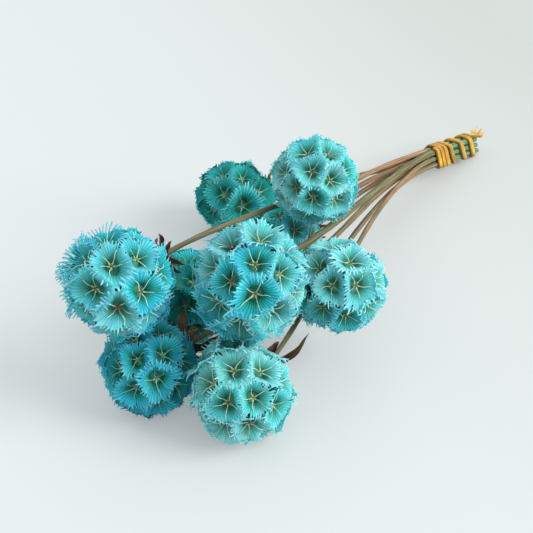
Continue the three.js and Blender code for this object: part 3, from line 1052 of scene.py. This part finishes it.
def model_fibre():
    """One loose fibre on +X, drawn out to a point."""
    fibre = begin(bpy.ops.mesh.primitive_plane_add, "fibre", size=1, rotation=(0, math.pi / 2, 0))
    bpy.ops.transform.resize(value=FIBRE_SECTION, center_override=(0, 0, 0))
    for _ in range(FIBRE_STEPS):
        extrude((1 / FIBRE_STEPS, 0, 0), (1, FIBRE_TAPER, FIBRE_TAPER))
    close(fibre)
    lay_uv(fibre, lambda corners: corners[:, 1], lambda corners: corners[:, 0] * 3 * MM)
    coat(fibre, "tie_band")
    return fibre


def fray(fibre, k, root, tip):
    """A copy of the fibre, bent on its own way from a place on the band's tail."""
    one = copy_of(fibre, f"fibre_{k}")
    paint(one, draws.uniform(0.6, 1.0))
    corners = corners_of(one)
    along = corners[:, :1]
    way = unit(bundle_way * draws.uniform(0.5, 1.2) + bundle_side * draws.uniform(-0.5, 0.6)
               + bundle_up * draws.uniform(0.1, 1.0))
    curve = unit(np.cross(way, bundle_way * 0.2 + bundle_up)) * draws.uniform(-0.3, 0.3)
    curve = curve + bundle_up * draws.uniform(-0.35, 0.1)
    side = unit(np.cross(way, UP))
    length = draws.uniform(*FIBRE_LENGTHS)
    start = root + (tip - root) * draws.uniform(0.0, 0.7) + bundle_way * draws.uniform(-0.4, 0.6)
    place = start + way * along * length + curve * along ** 2 * length
    place = place + side * corners[:, 1:2] + np.cross(side, way) * corners[:, 2:3]
    place_corners(one, (place + SHIFT) * MM)
    return one


def build_tie():
    """A flat band wound round the outline of the stems, with a loose, frayed tail."""
    lift = GAP + BAND_THICKNESS / 2
    stems = [(slot_offset(head), head["stem"]) for head in HEADS.values()]
    outline = [(-1, -0.5), (-0.85, -1), (0, -1), (0.85, -1), (1, -0.5),
               (1, 0.5), (0.85, 1), (0, 1), (-0.85, 1), (-1, 0.5)]

    def ring(place, out, width):
        return [place + bundle_way * a * width / 2 + out * b * BAND_THICKNESS / 2
                for a, b in outline]

    places, outs = [], []
    along = BAND_FIRST
    steps = len(BAND_TURNS) * BAND_STEPS
    for step in range(steps + 1):
        around = -ONE_TURN * step / BAND_STEPS + math.pi / 2
        out = bundle_side * math.cos(around) + bundle_up * math.sin(around)
        offset, radius = max(stems, key=lambda one: float(one[0] @ out) + one[1])
        slant = -BAND_SLANT * float(out @ bundle_up)
        places.append(BUNDLE_START + bundle_way * (along + slant) + offset + out * (radius + lift))
        outs.append(out)
        along += BAND_TURNS[min(step // BAND_STEPS, len(BAND_TURNS) - 1)] / BAND_STEPS
    places = np.array(places)
    for _ in range(3):
        places[1:-1] = (places[:-2] + 2 * places[1:-1] + places[2:]) / 4
    knots = np.arange(0, steps + BAND_UNEVEN_STEPS + 1, BAND_UNEVEN_STEPS)
    swell = np.interp(np.arange(steps + 1), knots, [draws.uniform(*BAND_UNEVEN) for _ in knots])
    rings = [ring(place, out, BAND_WIDTH * wide) for place, out, wide in zip(places, outs, swell)]
    place = places[-1]
    for step in range(TAIL_STEPS):
        place = (place + bundle_side * TAIL_STEP[0] + bundle_up * TAIL_STEP[1]
                 + bundle_way * TAIL_STEP[2])
        rings.append(ring(place, out, BAND_WIDTH * (1 - TAIL_TAPER * step)))
    count = len(outline)
    corners = (np.array(rings).reshape(-1, 3) + SHIFT) * MM
    corners[:, 2] = np.maximum(corners[:, 2], 0.0)
    faces = []
    for low in range(0, (len(rings) - 1) * count, count):
        for k in range(count):
            after = (k + 1) % count
            faces.append([low + k, low + after, low + count + after, low + count + k])
    last = (len(rings) - 1) * count
    faces += [list(range(count))[::-1], [last + k for k in range(count)]]
    mesh = bpy.data.meshes.new("wound_tie")
    mesh.from_pydata([tuple(c) for c in corners], [], faces)
    tie = alone(put_in_scene(bpy.data.objects.new("wound_tie", mesh)))
    bpy.ops.object.mode_set(mode="EDIT")
    close(tie)
    length = np.repeat(np.arange(len(rings)) * RING_SPACING, count) * MM
    lay_uv(tie, lambda _: np.tile(np.arange(count) / count, len(rings)), lambda _: length, 1)
    coat(tie, "tie_band")
    paint(tie, 0.0)
    fibre = model_fibre()
    tie = join([tie] + [fray(fibre, k, places[-1], place) for k in range(FIBRES)], "wound_tie")
    bpy.data.objects.remove(fibre)
    smooth(tie, 50)
    settle(tie, "band", "tie")


for number, name in enumerate(HEADS):
    build_head(name)
    build_bracts(number, name)
stem_section = model_profile()
made = [(name, build_stem(name, stem_section)) for name in HEADS]
bpy.data.objects.remove(stem_section)
for name, one in made:
    alone(one)
    finish_stem(name, one)
build_tie()
for pattern in [*WHOLE, *FRAYED, *WORN, STAR, BASE, BRACT_LEAF]:
    bpy.data.objects.remove(pattern)


# Table, light and camera

def table_top():
    """A grey, matt table that glows with painted light, brighter and cooler near the viewer, dimmer
    and warmer towards the far right.
    """
    f = Finish("glowing_table")
    colour = f.ramp(f.noise(3.0, 2.0), [(0.3, (0.285, 0.3, 0.298)),
                                        (0.7, (0.295, 0.31, 0.308))])
    place = f.split(f.place())
    away = f.math("ADD", place[0], f.math("MULTIPLY", place[1], -0.6))
    # Painted light: the table glows from its own surface, so the shadows on it stay light; the glow
    # is brighter and cooler near the viewer and dimmer and warmer towards the far right.
    glow = f.ramp(f.within(away, -0.15, 0.2),
                  [(0.0, (0.84, 0.9, 0.94)), (0.43, (0.74, 0.77, 0.79)),
                   (0.63, (0.62, 0.64, 0.62)), (1.0, (0.36, 0.35, 0.28))])
    return f.shade(colour, 0.6, f.bump(f.noise(400.0, 2.0), 0.00005, 0.2),
                   **{"Specular IOR Level": 0.2, "Emission Color": glow, "Emission Strength": 0.35})


floor = begin(bpy.ops.mesh.primitive_plane_add, "table_top", size=6)
close(floor)
floor.data.materials.append(table_top())

RIGHT = np.array([0.5736, -0.8192, 0.0])
AHEAD = np.array([0.8192, 0.5736, 0.0])


window = bpy.data.lights.new("window", "AREA")
window.shape = "SQUARE"
window.size = 1.4
window.energy = 88.0
window.color = (1.0, 0.995, 0.98)
holder = put_in_scene(bpy.data.objects.new("window", window))
holder.location = RIGHT * 2.0 - AHEAD * 0.5 + UP * 1.35
holder.rotation_mode = "QUATERNION"
holder.rotation_quaternion = (Vector((0, 0, 0.02)) - holder.location).to_track_quat("-Z", "Y")

world = bpy.data.worlds.new("soft_room")
bpy.context.scene.world = world
world.use_nodes = True
sky = world.node_tree.nodes["Background"].inputs
sky["Color"].default_value = (0.9, 0.945, 0.95, 1)
sky["Strength"].default_value = 1.3
bpy.context.scene.view_settings.view_transform = "Standard"

camera = bpy.data.cameras.new("camera")
camera.lens = 84.43
camera.sensor_width = 36
camera.clip_start = 0.01
eye = put_in_scene(bpy.data.objects.new("camera", camera))
eye.location = (-0.3136, -0.2012, 0.2806)
eye.rotation_euler = (math.radians(53), 0, math.radians(-55))
bpy.context.scene.camera = eye
